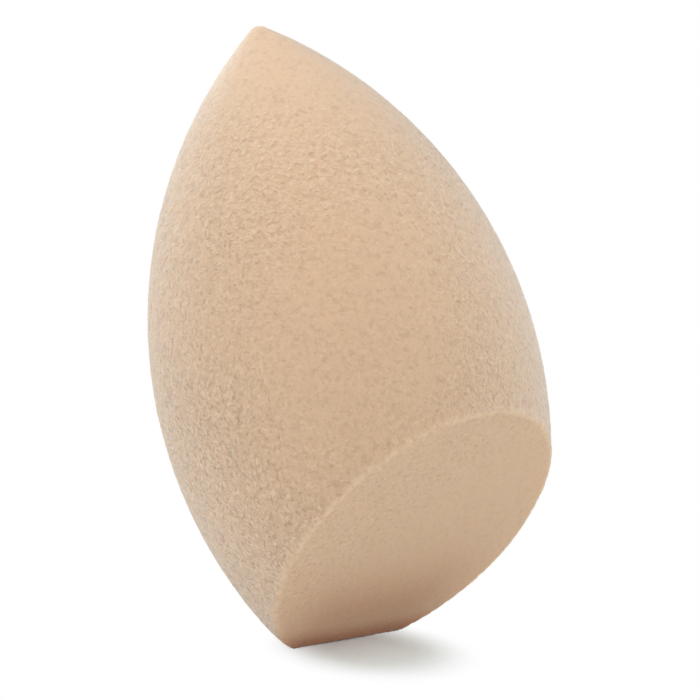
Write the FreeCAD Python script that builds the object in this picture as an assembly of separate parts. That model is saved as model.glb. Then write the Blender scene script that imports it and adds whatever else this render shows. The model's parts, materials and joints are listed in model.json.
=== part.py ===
"""A bevel-cut makeup sponge: one block of soft foam, standing on its toe.

The block is a teardrop turned about its own axis. A slanted cut takes off one side of the heel
and leaves the broad flat face that spreads make-up. The sponge stands leaning on the toe of that
cut, where the foam is pressed flat by its own weight.

Millimetres. +Z is up, the floor is Z = 0, and the origin is the middle of the flat on the toe.
"""
import FreeCAD, Part
import math
import os

from FreeCAD import Vector

# The turned teardrop, measured from its widest ring. The ball at the heel is a little smaller
# than the ring: the inset is the difference between the two radii.
belly_diameter = 40.0
tip_rise = 38.3
tip_radius = 1.3
heel_drop = 31.0
heel_inset = 3.3

# The slanted cut: where it crosses the axis below the widest ring, how steep it is against
# a cut square to the axis, which way it faces, and the soft edge that it leaves
bevel_drop = 21.1
bevel_slope_degrees = 42.0
bevel_turn_degrees = -54.0
rim_radius = 0.5

# How it stands: the tip leans towards -X, and the floor presses the lowest part of the toe flat
lean_degrees = 19.4
toe_press = 1.67

# How far every cutting block reaches past the foam
cut_overrun = 10.0

AXIS = Vector(0, 0, 1)
LEAN_AXIS = Vector(0, 1, 0)
MIDDLE = Vector(0, 0, 0)


def in_profile(across, up):
    """A point of the half outline, across from the axis and up from the widest ring."""
    return Vector(across, 0, up)


def round_point(centre, radius, angle):
    """The point of a circle in the half outline, at an angle up from level."""
    return centre + in_profile(radius * math.cos(angle), radius * math.sin(angle))


def flank(rise, end_radius):
    """Radius and sweep of the arc that runs from the widest ring into a round end.

    The arc leaves the ring parallel to the axis and touches the ball of the given radius
    whose far side is the given rise away along the axis.
    """
    belly_radius = belly_diameter / 2
    ball_rise = rise - end_radius
    radius = (belly_radius**2 + ball_rise**2 - end_radius**2) / (2 * (belly_radius - end_radius))
    sweep = math.atan2(ball_rise, radius - belly_radius)
    return radius, sweep


def half_outline_arcs(rise, end_radius, side):
    """The flank arc and the round end on one side of the ring: +1 above it, -1 below."""
    radius, sweep = flank(rise, end_radius)
    flank_centre = in_profile(belly_diameter / 2 - radius, 0)
    ball_centre = in_profile(0, side * (rise - end_radius))
    square = math.pi / 2
    ring = round_point(flank_centre, radius, 0)
    flank_middle = round_point(flank_centre, radius, side * sweep / 2)
    join = round_point(ball_centre, end_radius, side * sweep)
    cap_middle = round_point(ball_centre, end_radius, side * (sweep + square) / 2)
    pole = in_profile(0, side * rise)
    return [Part.Arc(ring, flank_middle, join).toShape(), Part.Arc(join, cap_middle, pole).toShape()]


def teardrop():
    """The whole foam block before any cut, turned about its axis."""
    upper = half_outline_arcs(tip_rise, tip_radius, 1)
    lower = half_outline_arcs(heel_drop, belly_diameter / 2 - heel_inset, -1)
    spine = Part.LineSegment(in_profile(0, tip_rise), in_profile(0, -heel_drop)).toShape()
    outline = Part.Wire(Part.__sortEdges__(upper + lower + [spine]))
    return Part.Face(outline).revolve(MIDDLE, AXIS, 360)


def slab_below():
    """A block that reaches past the foam on all sides and has its top face at Z = 0."""
    reach = belly_diameter + tip_rise + heel_drop + cut_overrun
    return Part.makeBox(2 * reach, 2 * reach, reach, Vector(-reach, -reach, -reach))


def bevel_cut(block):
    """The block with its slanted face cut and the edge of that face softened."""
    knife = slab_below()
    knife.rotate(MIDDLE, LEAN_AXIS, -bevel_slope_degrees)
    knife.rotate(MIDDLE, AXIS, bevel_turn_degrees)
    knife.translate(in_profile(0, -bevel_drop))
    cut = block.cut(knife)
    facing = knife_direction()
    return cut.makeFillet(rim_radius, flat_face(cut, facing).OuterWire.Edges)


def knife_direction():
    """The way the slanted face looks, out of the foam, before the sponge leans."""
    slope = math.radians(bevel_slope_degrees)
    turn = math.radians(bevel_turn_degrees)
    sideways = math.sin(slope)
    return Vector(sideways * math.cos(turn), sideways * math.sin(turn), -math.cos(slope))


def flat_face(shape, facing):
    """The largest flat face of a shape that looks one way."""
    flats = [face for face in shape.Faces if isinstance(face.Surface, Part.Plane)]
    looking = [face for face in flats if face.normalAt(0, 0).dot(facing) > math.cos(math.radians(1))]
    return max(looking, key=lambda face: face.Area)


def stood_on_toe(block):
    """The block leaned over, pressed flat on the floor and moved to stand on the origin."""
    standing = block.copy()
    standing.rotate(MIDDLE, LEAN_AXIS, -lean_degrees)
    lowest = standing.optimalBoundingBox(False, False).ZMin
    floor = slab_below()
    floor.translate(in_profile(0, lowest + toe_press))
    standing = standing.cut(floor)
    toe = flat_face(standing, -AXIS)
    standing.translate(-toe.CenterOfMass)
    return standing


def foam_body():
    """The finished sponge, one solid."""
    return stood_on_toe(bevel_cut(teardrop())).Solids[0]


os.makedirs("parts", exist_ok=True)
sponge = foam_body()
sponge.exportStep("parts/foam_body.step")

leaned_facing = FreeCAD.Rotation(LEAN_AXIS, -lean_degrees).multVec(knife_direction())
bevel = flat_face(sponge, leaned_facing)
toe = flat_face(sponge, -AXIS)
print("valid", sponge.isValid(), "volume", round(sponge.Volume, 1), "mm3, centre", sponge.CenterOfMass)
print("box", sponge.BoundBox)
print("toe flat: area", round(toe.Area, 2), "centre", toe.CenterOfMass)
print("bevel: area", round(bevel.Area, 1), "centre", bevel.CenterOfMass, "facing", leaned_facing)
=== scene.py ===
# %% [markdown]
# A makeup sponge, dressed in Blender
#
# The object is one block of soft, fine-celled foam: a pointed teardrop with a slanted flat face cut across
# its heel. The construction comes packed from a CAD model, in metres, with the floor at Z = 0. This lesson
# keeps that shape and gives it what CAD leaves out: the pores, the torn edge of the cut, the soft edge of
# the toe and the matte, slightly dusty look of foam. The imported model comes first, because everything else
# is measured from it.

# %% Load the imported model
import json
import math

import bmesh
import bpy
import numpy as np
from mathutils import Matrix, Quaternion, Vector, noise
from mathutils.kdtree import KDTree


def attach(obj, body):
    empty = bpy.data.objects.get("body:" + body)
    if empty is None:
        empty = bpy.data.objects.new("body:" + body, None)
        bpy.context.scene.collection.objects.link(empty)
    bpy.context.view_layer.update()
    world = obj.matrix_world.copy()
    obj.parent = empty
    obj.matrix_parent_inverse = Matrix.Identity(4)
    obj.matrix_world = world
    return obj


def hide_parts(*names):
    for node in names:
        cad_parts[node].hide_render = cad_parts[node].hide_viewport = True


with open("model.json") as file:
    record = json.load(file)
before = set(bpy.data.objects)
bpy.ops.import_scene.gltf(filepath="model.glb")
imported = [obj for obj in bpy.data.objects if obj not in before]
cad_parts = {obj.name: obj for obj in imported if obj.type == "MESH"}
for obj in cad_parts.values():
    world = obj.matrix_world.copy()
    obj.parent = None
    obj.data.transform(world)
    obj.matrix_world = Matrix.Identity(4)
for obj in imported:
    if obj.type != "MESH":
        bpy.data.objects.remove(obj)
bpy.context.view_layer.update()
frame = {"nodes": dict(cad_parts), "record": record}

MM = 0.001
scene = bpy.context.scene
block = frame["nodes"]["foam_body"]
print("CAD mesh:", len(block.data.polygons), "faces")

# %% [markdown]
# An even skin
#
# A CAD mesh spends its triangles where the surface bends and leaves long thin ones elsewhere, so it has no
# points to press pores into. A subdivision would copy that unevenness. A voxel remesh lays a fresh skin of
# nearly equal squares over the block instead, a third of a millimetre wide: small enough for a pore, and
# coarse enough to keep the whole sponge under two hundred thousand triangles. The remesh rounds a little,
# so a shrinkwrap then draws every point back onto the CAD surface.

# %% Lay an even skin over the block
skin_pitch = 0.33 * MM
weld_gap = 0.001 * MM


def welded_copy(source, name):
    """A new object with the source's mesh, its split corners joined again."""
    mesh = source.data.copy()
    mesh.materials.clear()
    work = bmesh.new()
    work.from_mesh(mesh)
    bmesh.ops.remove_doubles(work, verts=work.verts, dist=weld_gap)
    work.to_mesh(mesh)
    work.free()
    copy = bpy.data.objects.new(name, mesh)
    scene.collection.objects.link(copy)
    return copy


def apply_modifiers(piece):
    """Turns what the modifiers show into the piece's own mesh."""
    graph = bpy.context.evaluated_depsgraph_get()
    finished = bpy.data.meshes.new_from_object(piece.evaluated_get(graph))
    piece.modifiers.clear()
    piece.data = finished


sponge = welded_copy(block, "foam_sponge")
remesh = sponge.modifiers.new("even_skin", "REMESH")
remesh.mode = "VOXEL"
remesh.voxel_size = skin_pitch
snug = sponge.modifiers.new("back_on_the_block", "SHRINKWRAP")
snug.target = block
apply_modifiers(sponge)
skin = sponge.data
print("even skin:", len(skin.vertices), "points,", len(skin.polygons), "faces")

# %% [markdown]
# Where the knife went
#
# The slanted face is cut with one stroke of a knife after the foam has set, so it looks different from the
# moulded outside: flatter, with fewer dents. Two masks say which points of the skin lie on the cut and which
# on the toe that carries the sponge. They could be painted by hand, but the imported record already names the
# slanted face as a mount, with a place and a direction, so nothing is measured twice.

# %% Find the cut face and the toe
cut_mount = next(m for m in frame["record"]["mounts"] if m["name"] == "bevel_face")
cut_place = np.array(cut_mount["pos_m"])
cut_facing = np.array(cut_mount["axis"])
on_plane = 0.03 * MM
toe_height = 0.05 * MM


def rows_of(items, name, kind=float, width=3):
    """One property of all points, edges or faces, as rows of a table."""
    flat = np.empty(width * len(items), dtype=kind)
    items.foreach_get(name, flat)
    return flat.reshape(-1, width)


places = rows_of(skin.vertices, "co")
heights = places[:, 2].copy()
on_cut = (cut_place - places) @ cut_facing < on_plane
on_toe = heights < toe_height
print("points on the cut:", int(on_cut.sum()), "on the toe:", int(on_toe.sum()))

# %% [markdown]
# The rim as a distance
#
# Where the cut meets the moulded skin, the foam's torn edge stands up a little, and a pale line a fraction
# of a millimetre wide is painted along it as a highlight. To draw both, each point needs its distance to
# the edge of the cut. The edge is easy to list: it is where an edge of the mesh has one end on the cut and
# the other off it. A k-d tree then answers how near the closest of those points is.

# %% Measure each point's distance to the rim
rim_width = 0.42 * MM


def border_points(inside):
    """The points on the border of a mask, where an edge of the mesh leaves it."""
    leaves = inside[pairs[:, 0]] != inside[pairs[:, 1]]
    return np.unique(pairs[leaves])


def tree_of(points):
    """A search tree over rows of points."""
    tree = KDTree(len(points))
    for index, point in enumerate(points):
        tree.insert(point, index)
    tree.balance()
    return tree


def gaps_to(chosen):
    """Each point's distance to the nearest of the chosen points."""
    tree = tree_of(places[chosen])
    return np.array([tree.find(place)[2] for place in places])


pairs = rows_of(skin.edges, "vertices", np.int32, 2)
rim_points = border_points(on_cut)
rim_points = rim_points[~on_toe[rim_points]]
rim_gap = gaps_to(rim_points)
rim = np.clip(1 - rim_gap / rim_width, 0, 1)
print("rim points:", len(rim_points), "pale points:", int((rim > 0).sum()))

# %% [markdown]
# The soft edge of the toe
#
# The CAD model cuts the toe off sharply at floor level. Soft foam that rests on a table leaves it in a small
# curve, and the thin gap under that curve is the dark line one sees below the sponge. A bevel modifier would
# need clean edges, which a remeshed skin doesn't have. Relaxing does it instead: points near the border of
# the toe move towards the middle of their neighbours, again and again. The two corners at the ends of the
# cut are left alone, because they show in the outline.

# %% Round the edge of the toe
toe_round_reach = 2.4 * MM
toe_round_passes = 12
corner_reach = 3.0 * MM
half_way = 0.5


def relaxed(points, shares, passes):
    """The points after each has moved, several times, by its share to the middle of its neighbours."""
    counts = np.bincount(pairs.ravel(), minlength=len(points))[:, None]
    for _ in range(passes):
        total = np.zeros_like(points)
        np.add.at(total, pairs[:, 0], points[pairs[:, 1]])
        np.add.at(total, pairs[:, 1], points[pairs[:, 0]])
        points = points + shares[:, None] * (total / counts - points)
    return points


near_border = np.clip(1 - gaps_to(border_points(on_toe)) / toe_round_reach, 0, 1)
off_corner = np.clip(rim_gap / corner_reach, 0, 1)
rounded = relaxed(places, half_way * near_border * off_corner, toe_round_passes)
print("toe edge moved by, mm:", round(np.abs(rounded - places).max() / MM, 3))
places = rounded
skin.vertices.foreach_set("co", places.ravel())
skin.update()
facings = rows_of(skin.vertex_normals, "vector")

# %% [markdown]
# Pores
#
# Foam is a pack of tiny bubbles, and where one breaks the surface it leaves a pit. A bump texture could
# paint them, but then the outline and the exported mesh would be as smooth as plastic. Here the larger pores
# are real dents: thousands of points are picked at random, with a fixed seed so that each run gives the same
# sponge, and the skin round each one is pressed in with a smooth bowl. The moulded outside has many pores,
# the cut face fewer and shallower ones, and the toe that carries the sponge stays flat.

# %% Scatter the pores
pores_per_mm2 = 2.2
pore_radius_range = (0.20 * MM, 0.45 * MM)
pore_depth_share = 0.28
shallow_share = 0.4
cut_pore_chance = 0.35
cut_depth_share = 0.5
scatter_seed = 7
random = np.random.default_rng(scatter_seed)


def scatter_pores():
    """Places, radii and depths of all pores."""
    area = sum(face.area for face in skin.polygons) / MM**2
    picked = random.integers(0, len(places), int(pores_per_mm2 * area))
    radii = random.uniform(*pore_radius_range, len(picked))
    depths = radii * pore_depth_share * random.uniform(shallow_share, 1, len(picked))
    depths *= np.where(on_cut[picked], cut_depth_share, 1)
    kept = ~on_toe[picked]
    kept &= ~on_cut[picked] | (random.random(len(picked)) < cut_pore_chance)
    return places[picked[kept]], radii[kept], depths[kept]


def press_pores(centres, radii, depths):
    """How far each point of the skin is pressed in by the deepest pore over it."""
    tree = tree_of(places)
    pressed = np.zeros(len(places))
    for centre, radius, depth in zip(centres, radii, depths):
        for _, index, gap in tree.find_range(centre, radius):
            bowl = depth * (1 - (gap / radius) ** 2) ** 2
            pressed[index] = max(pressed[index], bowl)
    return pressed


pores = scatter_pores()
pressed = press_pores(*pores)
print("pores:", len(pores[0]), "deepest, mm:", round(pressed.max() / MM, 3))

# %% [markdown]
# Grain, lip and pressing
#
# Between the pores the skin is never quite even: a grain of a hundredth of a millimetre keeps the light
# from sliding over it. Along the cut the edge gets its small raised lip. All three movements go along each
# point's own direction, and the toe keeps its place on the floor.

# %% Press the surface
grain_height = 0.012 * MM
cut_grain_share = 0.45
lip_height = 0.07 * MM

grain = random.normal(0, grain_height, len(places))
grain *= np.where(on_cut, cut_grain_share, 1)
lift = grain - pressed + lip_height * rim
lift[on_toe] = 0
moved = places + facings * lift[:, None]
moved[:, 2] = np.maximum(moved[:, 2], 0)
skin.vertices.foreach_set("co", moved.ravel())
skin.polygons.foreach_set("use_smooth", np.ones(len(skin.polygons), dtype=bool))
skin.update()
print("surface moved by, mm:", round(lift.min() / MM, 3), "to", round(lift.max() / MM, 3))

# %% [markdown]
# Coarse and calm foam
#
# Foam never rises evenly in its mould. On this sponge the froth is calm in the middle of the front and at
# the tip, and it gets coarser towards the heel. The cut is calm too, but torn along the near side, where the
# knife came out. One number for each point says how coarse the foam is there. It is made from smooth ramps
# between two distances, like the soft edge of a brush, with a slow random drift over them, so that no side
# of the sponge looks even.

# %% Say how coarse the foam is
usual_coarseness = 0.8
calm_middle = np.array((2.5, -25.0, 37.0)) * MM
calm_stretch = np.array((1, 1, 0.6))
calm_edge = (6 * MM, 15 * MM)
calm_drop = 0.58
heel_edge = (14 * MM, 36 * MM)
heel_gain = 0.7
tip_edge = (51.6 * MM, 60.7 * MM)
tip_drop = 0.8
drift_scale = 90.0
drift_share = 0.3
near_way = np.array((-0.347, -0.839, 0.42))
torn_edge = (-2 * MM, 10 * MM)
calm_cut, torn_cut = 0.3, 1.3


def ramp(values, edge):
    """A smooth step from 0 at the edge's first value to 1 at its second."""
    share = np.clip((values - edge[0]) / (edge[1] - edge[0]), 0, 1)
    return share * share * (3 - 2 * share)


from_middle = np.linalg.norm((places - calm_middle) * calm_stretch, axis=1)
drift = np.array([noise.noise(Vector(place) * drift_scale) for place in places])
coarseness = usual_coarseness * (1 + drift_share * drift)
coarseness *= 1 - calm_drop * (1 - ramp(from_middle, calm_edge))
coarseness *= 1 + heel_gain * (1 - ramp(heights, heel_edge))
coarseness *= 1 - tip_drop * ramp(heights, tip_edge)
torn = ramp((places - cut_place) @ near_way, torn_edge)
coarseness[on_cut] = (calm_cut + (torn_cut - calm_cut) * torn)[on_cut]
print("coarseness:", round(coarseness.min(), 2), "to", round(coarseness.max(), 2))

# %% [markdown]
# Masks that travel with the mesh
#
# The finishes need to know how deep a point lies in a pore, how near it is to the rim, how coarse it is and
# how near to the toe. The pore depth darkens each bowl with painted shade, the rim carries a painted
# highlight, and near the toe the cut is darkened to a deeper brown as painted shade, where it hangs over its
# own shadow on the floor, but less so along the free edge of the cut. Textures could guess at that from
# coordinates. Storing the four numbers on the points as attributes ties the colour to the real dents, so
# that the painted shade of a pore sits in its bowl from every side. The faces just inside the rim belong to
# the cut, so the raised lip changes nothing there.

# %% Store the masks and choose the finish of each face
SKIN, CUT = 0, 1
# painted shade: the cut is darkened to a deeper brown towards the floor, over this height and steepness
toe_shade_reach = 16.5 * MM
toe_shade_steepness = 2.35
# the painted rim highlight fades out over this height above the floor
rim_fade = 4 * MM
# the painted shade near the toe is weaker along the free edge of the cut, by these distances and share
margin_edge = (0, 7 * MM)
margin_foot = (0.5 * MM, 3 * MM)
margin_drop = 0.8
lip_room = 0.12 * MM


def store_mask(name, values):
    """Writes one number for each point of the skin."""
    attribute = skin.attributes.new(name, "FLOAT", "POINT")
    attribute.data.foreach_set("value", values.astype(np.float32))


margin = (1 - ramp(rim_gap, margin_edge)) * ramp(heights, margin_foot)
# the pore depth carries painted shade: each pore's bowl is darkened as the shade that falls into it
store_mask("pore_depth", pressed / pressed.max())
# painted highlight: a pale line along the rim of the cut
store_mask("rim", rim * np.clip(heights / rim_fade, 0, 1))
# the toe mask carries painted shade: the cut darkens towards the floor, where it hangs over its shadow
store_mask("toe", np.clip(1 - heights / toe_shade_reach, 0, 1) ** toe_shade_steepness * (1 - margin_drop * margin))
store_mask("coarseness", coarseness)
centre_under_cut = (cut_place - rows_of(skin.polygons, "center")) @ cut_facing
finish_of_face = np.where(centre_under_cut < lip_room, CUT, SKIN).astype(np.int32)
print("masks:", [a.name for a in skin.attributes], "cut faces:", int((finish_of_face == CUT).sum()))

# %% [markdown]
# Small helpers for nodes
#
# A material's pattern is a sum of many small steps, and each is a node with a few links. Written out one by
# one they bury the idea under plumbing. These helpers each make one node, link it up and hand back its
# result, so that the pattern further down reads like a recipe.

# %% Make the node helpers


def add_sockets(group, way, kind, names):
    """Named inputs or outputs of a node group."""
    for name in names:
        group.interface.new_socket(name=name, in_out=way, socket_type=kind)


def arithmetic(tree, operation, *sides):
    """One sum: each side is a socket or a plain number."""
    node = tree.nodes.new("ShaderNodeMath")
    node.operation = operation
    for slot, side in zip(node.inputs, sides):
        if isinstance(side, float):
            slot.default_value = side
        else:
            tree.links.new(side, slot)
    return node.outputs[0]


def eased(tree, value, edge):
    """A smooth step from 0 at the edge's first value to 1 at its second."""
    step = tree.nodes.new("ShaderNodeMapRange")
    step.interpolation_type = "SMOOTHSTEP"
    step.inputs["From Min"].default_value, step.inputs["From Max"].default_value = edge
    tree.links.new(value, step.inputs["Value"])
    return step.outputs["Result"]


def toned(tree, share, colour, other):
    """A colour mixed with another by a share."""
    mix = tree.nodes.new("ShaderNodeMix")
    mix.data_type = "RGBA"
    tree.links.new(share, mix.inputs["Factor"])
    tree.links.new(colour, mix.inputs["A"])
    tree.links.new(other, mix.inputs["B"])
    return mix.outputs["Result"]


def stored(tree, name):
    """A mask that was stored on the points."""
    attribute = tree.nodes.new("ShaderNodeAttribute")
    attribute.attribute_name = name
    return attribute.outputs["Fac"]


def cloud(tree, place, scale, detail):
    """A cloud of random values and colours."""
    texture = tree.nodes.new("ShaderNodeTexNoise")
    texture.inputs["Scale"].default_value = scale
    texture.inputs["Detail"].default_value = detail
    tree.links.new(place, texture.inputs["Vector"])
    return texture


print("node helpers: sockets, sums, steps, mixes, masks and noise")

# %% [markdown]
# What the foam shows up close
#
# Under a lens the skin is a froth: round cells a third of a millimetre wide, some burst, with thin walls
# between them, and here and there an irregular pit where several have run together. Voronoi cells give the
# froth, and a little noise in their coordinates bends the walls, because straight ones look like cut glass.
# The pits come from noise alone: a threshold on it leaves ragged islands.

# %% Describe cells and pits
cell_scale = 2900.0
wobble_scale = 2200.0
wobble_detail = 1.0
wobble_reach = 0.20 * MM
hole_edge = (0.36, 0.10)
wall_edge = (0.36, 0.62)
burst_edge = (0.40, 0.62)
pit_scale = 2100.0
pit_detail = 3.0
pit_edge = (0.54, 0.68)


def pushed(tree, push, reach, place):
    """A place moved by a push times a reach."""
    shift = tree.nodes.new("ShaderNodeVectorMath")
    shift.operation = "MULTIPLY_ADD"
    shift.inputs[1].default_value = (reach, reach, reach)
    tree.links.new(push, shift.inputs[0])
    tree.links.new(place, shift.inputs[2])
    return shift.outputs["Vector"]


def foam_cells(tree, place):
    """The froth: the walls between cells, and the holes of cells that have burst."""
    wobble = cloud(tree, place, wobble_scale, wobble_detail).outputs["Color"]
    cells = tree.nodes.new("ShaderNodeTexVoronoi")
    cells.inputs["Scale"].default_value = cell_scale
    tree.links.new(pushed(tree, wobble, wobble_reach, place), cells.inputs["Vector"])
    burst = eased(tree, cells.outputs["Color"], burst_edge)
    hole = arithmetic(tree, "MULTIPLY", eased(tree, cells.outputs["Distance"], hole_edge), burst)
    return eased(tree, cells.outputs["Distance"], wall_edge), hole


def ragged_pits(tree, place):
    """Ragged islands where several cells have run together."""
    return eased(tree, cloud(tree, place, pit_scale, pit_detail).outputs["Fac"], pit_edge)


print("cells, mm:", round(1 / cell_scale / MM, 2), "pits, mm:", round(1 / pit_scale / MM, 2))

# %% [markdown]
# One recipe for foam
#
# Both finishes show the same foam, so what they share is a node group with named sockets. It takes a body
# colour and a colour and a strength for each layer: soft blotches, which are cells seen through the skin,
# painted shade near the toe, painted glints on the cell walls, painted shade in the pores and a painted
# highlight along the rim, which a coarser noise breaks up like torn foam. It gives back one colour, a height
# for the relief and a roughness. Light from above then draws each pit with a dark upper side and a bright
# lower one, and that is most of what one sees. The shader itself stays in the material.

# %% Build the shared foam pattern
foam_layers = ("Blotches", "Toe Shade", "Wall Glints", "Pores", "Rim Highlight")
blotch_scale = 1600.0
blotch_detail = 1.0
blotch_edge = (0.48, 0.72)
crumb_scale = 2600.0
crumb_detail = 2.0
glint_edge = (0.45, 0.65)
tear_scale = 1100.0
tear_detail = 2.0
tear_edge = (0.38, 0.60)
whole_rim_share = 0.3
hole_share = 0.6
dent_share = 0.35
wall_rise = 0.45
crumb_rise = 2.0
roughness_spread = 0.14
least_roughness = 0.82


def layer_masks(tree, place, wall, opened, crumbs, coarseness):
    """Where each layer of the foam shows."""
    # painted glints: pale colour on some cell walls, where they would catch the light
    glint = arithmetic(tree, "MULTIPLY", wall, eased(tree, crumbs, glint_edge))
    # painted shade: pore dents, burst cells and ragged pits are darkened where shade falls into them
    dent = arithmetic(tree, "MULTIPLY", stored(tree, "pore_depth"), dent_share)
    dark = arithmetic(tree, "MAXIMUM", opened, dent)
    tear = eased(tree, cloud(tree, place, tear_scale, tear_detail).outputs["Fac"], tear_edge)
    torn = arithmetic(tree, "MULTIPLY_ADD", tear, 1 - whole_rim_share, whole_rim_share)
    blotches = cloud(tree, place, blotch_scale, blotch_detail).outputs["Fac"]
    return {
        "Blotches": eased(tree, blotches, blotch_edge),
        # painted shade on the cut near the floor
        "Toe Shade": stored(tree, "toe"),
        # painted glints on the cell walls
        "Wall Glints": arithmetic(tree, "MULTIPLY", glint, coarseness),
        # painted shade in the pores
        "Pores": arithmetic(tree, "MULTIPLY", dark, coarseness),
        # painted highlight along the rim, broken up by the tear noise
        "Rim Highlight": arithmetic(tree, "MULTIPLY", stored(tree, "rim"), torn),
    }


def relief(tree, wall, opened, crumbs, coarseness):
    """The height of the froth: walls and crumbs stand up, open cells lie deep."""
    height = arithmetic(tree, "SUBTRACT", arithmetic(tree, "MULTIPLY", wall, wall_rise), opened)
    height = arithmetic(tree, "MULTIPLY_ADD", crumbs, crumb_rise, height)
    return arithmetic(tree, "MULTIPLY", height, coarseness)


def foam_pattern():
    """The node group that both finishes share."""
    group = bpy.data.node_groups.new("foam_pattern", "ShaderNodeTree")
    colour_names = [layer + " Colour" for layer in ("Body", *foam_layers)]
    add_sockets(group, "INPUT", "NodeSocketColor", colour_names)
    add_sockets(group, "INPUT", "NodeSocketFloat", foam_layers)
    add_sockets(group, "OUTPUT", "NodeSocketColor", ("Colour",))
    add_sockets(group, "OUTPUT", "NodeSocketFloat", ("Height", "Roughness"))
    given = group.nodes.new("NodeGroupInput").outputs
    result = group.nodes.new("NodeGroupOutput").inputs
    place = group.nodes.new("ShaderNodeTexCoord").outputs["Object"]

    wall, hole = foam_cells(group, place)
    opened = arithmetic(group, "MULTIPLY", hole, hole_share)
    opened = arithmetic(group, "MAXIMUM", opened, ragged_pits(group, place))
    crumbs = cloud(group, place, crumb_scale, crumb_detail).outputs["Fac"]
    coarseness = stored(group, "coarseness")
    masks = layer_masks(group, place, wall, opened, crumbs, coarseness)
    colour = given["Body Colour"]
    for layer in foam_layers:
        share = arithmetic(group, "MULTIPLY", masks[layer], given[layer])
        colour = toned(group, share, colour, given[layer + " Colour"])
    roughness = arithmetic(group, "MULTIPLY_ADD", masks["Blotches"], roughness_spread, least_roughness)
    group.links.new(colour, result["Colour"])
    group.links.new(relief(group, wall, opened, crumbs, coarseness), result["Height"])
    group.links.new(roughness, result["Roughness"])
    return group


pattern = foam_pattern()
print("foam pattern:", len(pattern.nodes), "nodes")

# %% [markdown]
# Two finishes
#
# The moulded skin and the cut face are the same beige foam. The skin shows its pores, and the cut face is
# calmer and lets light a few millimetres in, which softens its shading: that is subsurface scattering, with
# red going deepest, as in all warm pale stuff. Towards the toe the cut is painted a deeper brown: that is
# painted shade, where the cut comes down over its own shadow on the floor. Foam has no gloss, only a faint
# bright veil where one looks along its surface, because the torn cell walls stand up like very short fibres.
# Sheen gives that veil.

# %% Make the two foam finishes
foam_colour = (0.731, 0.503, 0.318, 1)
cut_colour = (0.765, 0.528, 0.329, 1)
layer_colours = {
    "Blotches": (0.65, 0.437, 0.269, 1),
    # the colour of the painted shade on the cut near the floor
    "Toe Shade": (0.48, 0.178, 0.069, 1),
    # the colour of the painted glints on the cell walls
    "Wall Glints": (0.86, 0.66, 0.46, 1),
    # the colour of the painted shade in the pores
    "Pores": (0.46, 0.22, 0.095, 1),
    # the colour of the painted highlight along the rim
    "Rim Highlight": (0.86, 0.67, 0.47, 1),
}
# strengths per finish: painted shade at the toe, painted glints on walls, painted pore shade, painted rim
# highlight
skin_strengths = {"Blotches": 0.8, "Toe Shade": 0.0, "Wall Glints": 0.62, "Pores": 0.34, "Rim Highlight": 0.7}
cut_strengths = {"Blotches": 0.35, "Toe Shade": 1.0, "Wall Glints": 0.35, "Pores": 0.26, "Rim Highlight": 0.7}
veil_colour = (1.0, 0.96, 0.90, 1)
veil_roughness = 0.6
gloss_level = 0.08
light_reach = 3.0 * MM
light_reach_by_colour = (1.0, 0.45, 0.25)
relief_height = 0.1 * MM


def foam_finish(name, body, strengths, relief_strength, veil, depth_of_light):
    """A foam material: the shared pattern with its own values, under one matte shader."""
    material = bpy.data.materials.new(name)
    material.use_nodes = True
    nodes, links = material.node_tree.nodes, material.node_tree.links
    shader = nodes["Principled BSDF"]
    shader.inputs["Specular IOR Level"].default_value = gloss_level
    shader.inputs["Subsurface Weight"].default_value = depth_of_light
    shader.inputs["Subsurface Radius"].default_value = light_reach_by_colour
    shader.inputs["Subsurface Scale"].default_value = light_reach
    shader.inputs["Sheen Weight"].default_value = veil
    shader.inputs["Sheen Roughness"].default_value = veil_roughness
    shader.inputs["Sheen Tint"].default_value = veil_colour
    foam = nodes.new("ShaderNodeGroup")
    foam.node_tree = pattern
    foam.inputs["Body Colour"].default_value = body
    for layer in foam_layers:
        foam.inputs[layer].default_value = strengths[layer]
        foam.inputs[layer + " Colour"].default_value = layer_colours[layer]
    bump = nodes.new("ShaderNodeBump")
    bump.inputs["Strength"].default_value = relief_strength
    bump.inputs["Distance"].default_value = relief_height
    links.new(foam.outputs["Colour"], shader.inputs["Base Color"])
    links.new(foam.outputs["Roughness"], shader.inputs["Roughness"])
    links.new(foam.outputs["Height"], bump.inputs["Height"])
    links.new(bump.outputs["Normal"], shader.inputs["Normal"])
    return material


foam_skin = foam_finish(
    "foam_skin", foam_colour, skin_strengths, relief_strength=0.75, veil=0.95, depth_of_light=0.2
)
foam_cut = foam_finish(
    "foam_cut", cut_colour, cut_strengths, relief_strength=0.3, veil=0.4, depth_of_light=0.7
)
skin.materials.clear()
skin.materials.append(foam_skin)
skin.materials.append(foam_cut)
skin.polygons.foreach_set("material_index", finish_of_face)
skin.update()
print("finishes:", [material.name for material in skin.materials])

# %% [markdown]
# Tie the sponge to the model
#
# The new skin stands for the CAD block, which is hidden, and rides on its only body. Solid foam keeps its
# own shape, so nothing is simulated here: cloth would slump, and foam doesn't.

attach(sponge, "root")
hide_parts("foam_body")

# %% [markdown]
# White paper in a light tent
#
# Small products are photographed on white paper in a tent of cloth: light comes evenly from all round, and
# the white is bright enough to lose the paper's edge. More light would do that here too, but it would
# bleach the sponge. Light Path tells the two apart: rays from the camera, or mirrored on the way, see white,
# and all other rays see the tent and the paper as they are. Only near the sponge does the camera see lit
# paper, a bright and slightly cool one, and with it the soft shadow.

# %% Lay the floor and light the tent
floor_half = 2.0
paper_colour = (0.85, 0.85, 0.85, 1)
bright_paper_colour = (1.01, 1.18, 1.26, 1)
shadow_middle = (4.5 * MM, -4.5 * MM, 0)
shadow_edge = (4 * MM, 12.1 * MM)
tent_level = 0.28
white = (1, 1, 1, 1)


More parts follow.
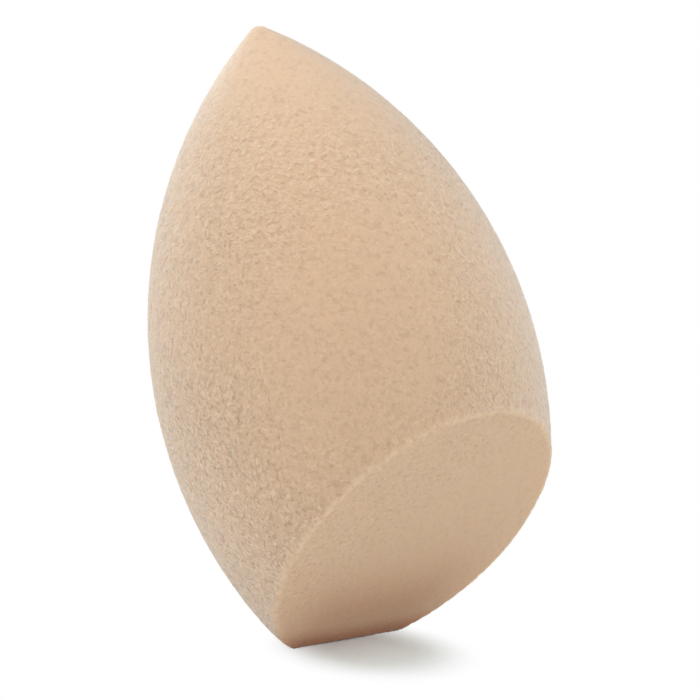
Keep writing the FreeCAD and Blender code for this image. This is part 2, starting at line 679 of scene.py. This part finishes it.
def seen_directly(tree):
    """A value that is 1 on rays that show a surface in the picture, straight or mirrored."""
    path = tree.nodes.new("ShaderNodeLightPath")
    seen = path.outputs["Is Camera Ray"]
    for name in ("Is Glossy Ray", "Is Transmission Ray"):
        seen = arithmetic(tree, "MAXIMUM", seen, path.outputs[name])
    return seen


def far_from_sponge(tree):
    """A value that rises from 0 near the sponge to 1 where its shadow has ended."""
    distance = tree.nodes.new("ShaderNodeVectorMath")
    distance.operation = "DISTANCE"
    distance.inputs[1].default_value = shadow_middle
    place = tree.nodes.new("ShaderNodeTexCoord").outputs["Object"]
    tree.links.new(place, distance.inputs[0])
    return eased(tree, distance.outputs["Value"], shadow_edge)


def paper(tree, colour):
    """A matte sheet of one colour."""
    sheet = tree.nodes.new("ShaderNodeBsdfDiffuse")
    sheet.inputs["Color"].default_value = colour
    return sheet.outputs[0]


def mixed(tree, share, first, second):
    """Two shaders mixed by a share."""
    mix = tree.nodes.new("ShaderNodeMixShader")
    tree.links.new(share, mix.inputs["Fac"])
    tree.links.new(first, mix.inputs[1])
    tree.links.new(second, mix.inputs[2])
    return mix.outputs[0]


def floor_material():
    """White paper that bounces light, and looks white to the camera except in the shadow."""
    material = bpy.data.materials.new("tent_floor")
    material.use_nodes = True
    tree = material.node_tree
    tree.nodes.remove(tree.nodes["Principled BSDF"])
    glow = tree.nodes.new("ShaderNodeEmission")
    glow.inputs["Color"].default_value = white
    pictured = mixed(tree, far_from_sponge(tree), paper(tree, bright_paper_colour), glow.outputs[0])
    surface = mixed(tree, seen_directly(tree), paper(tree, paper_colour), pictured)
    tree.links.new(surface, tree.nodes["Material Output"].inputs["Surface"])
    return material


def square_floor():
    """A flat square at floor level."""
    corners = [(-1, -1, 0), (1, -1, 0), (1, 1, 0), (-1, 1, 0)]
    mesh = bpy.data.meshes.new("floor")
    mesh.from_pydata([Vector(c) * floor_half for c in corners], [], [(0, 1, 2, 3)])
    return bpy.data.objects.new("floor", mesh)


def tent_world():
    """An even white surround, plain white where it is seen."""
    world = bpy.data.worlds.new("light_tent")
    world.use_nodes = True
    tree = world.node_tree
    background = tree.nodes["Background"]
    background.inputs["Color"].default_value = white
    level = arithmetic(tree, "MULTIPLY_ADD", seen_directly(tree), 1 - tent_level, tent_level)
    tree.links.new(level, background.inputs["Strength"])
    return world


floor = square_floor()
floor.data.materials.append(floor_material())
scene.collection.objects.link(floor)
scene.world = tent_world()
print("floor:", floor.name, "world:", scene.world.name)

# %% [markdown]
# Four soft boxes
#
# The tent alone would leave the sponge flat. A soft box straight above makes the top the brightest part and
# lets the light fall off towards the heel. One on each side of the camera opens up the flanks, and one
# behind brightens the edges. A sun or a spot would draw hard shadows, so all four are broad squares, about
# as wide as they are far away. Each is placed as one thinks of a lamp: how far round the sponge, how high
# and how strong.

# %% Hang the soft boxes
softbox_size = 0.5
softbox_distance = 0.6


def direction(orbit_degrees, elevation_degrees):
    """The way from the sponge to something that far round it, from the front, and that high."""
    orbit, elevation = math.radians(orbit_degrees), math.radians(elevation_degrees)
    level_out = Vector((math.sin(orbit), -math.cos(orbit), 0))
    return level_out * math.cos(elevation) + Vector((0, 0, math.sin(elevation)))


def hang_softbox(name, orbit_degrees, elevation_degrees, watts):
    """A square lamp that looks at the sponge from one side."""
    towards = direction(orbit_degrees, elevation_degrees)
    lamp = bpy.data.lights.new(name, "AREA")
    lamp.size = softbox_size
    lamp.energy = watts
    softbox = bpy.data.objects.new(name, lamp)
    softbox.location = towards * softbox_distance
    softbox.rotation_mode = "QUATERNION"
    softbox.rotation_quaternion = towards.to_track_quat("Z", "Y")
    scene.collection.objects.link(softbox)
    print(name, watts, "W")


hang_softbox("softbox_above", orbit_degrees=0, elevation_degrees=88, watts=1.57)
hang_softbox("softbox_left", orbit_degrees=-68, elevation_degrees=18, watts=1.42)
hang_softbox("softbox_right", orbit_degrees=50, elevation_degrees=50, watts=1.31)
hang_softbox("softbox_behind", orbit_degrees=-140, elevation_degrees=12, watts=1.5)

# %% [markdown]
# The camera
#
# The photograph looks slightly down on the sponge with a long lens from about 30 cm, and the camera was
# tipped a few degrees, which shows in the slope of the line on which the sponge stands. A camera is easiest
# to think of as orbiting a point it aims at, like the lamps, so its place is worked out from that point, two
# angles and a distance, and the tip is a turn about its own axis.

# %% Set the camera
aim = Vector((-1.42, 4.55, 30.0)) * MM
orbit_degrees = 4.844
elevation_degrees = 10.231
tip_degrees = 5.087
camera_distance = 0.300
lens_mm = 145.0
nearest_seen = 0.01

back = direction(orbit_degrees, elevation_degrees)
camera = bpy.data.objects.new("camera", bpy.data.cameras.new("camera"))
camera.data.lens = lens_mm
camera.data.clip_start = nearest_seen
camera.location = aim + back * camera_distance
upright = (-back).to_track_quat("-Z", "Y")
camera.rotation_mode = "QUATERNION"
camera.rotation_quaternion = upright @ Quaternion((0, 0, 1), math.radians(tip_degrees))
scene.collection.objects.link(camera)
scene.camera = camera
scene.view_settings.view_transform = "Standard"
print("camera at, mm:", [round(x / MM, 2) for x in camera.location])
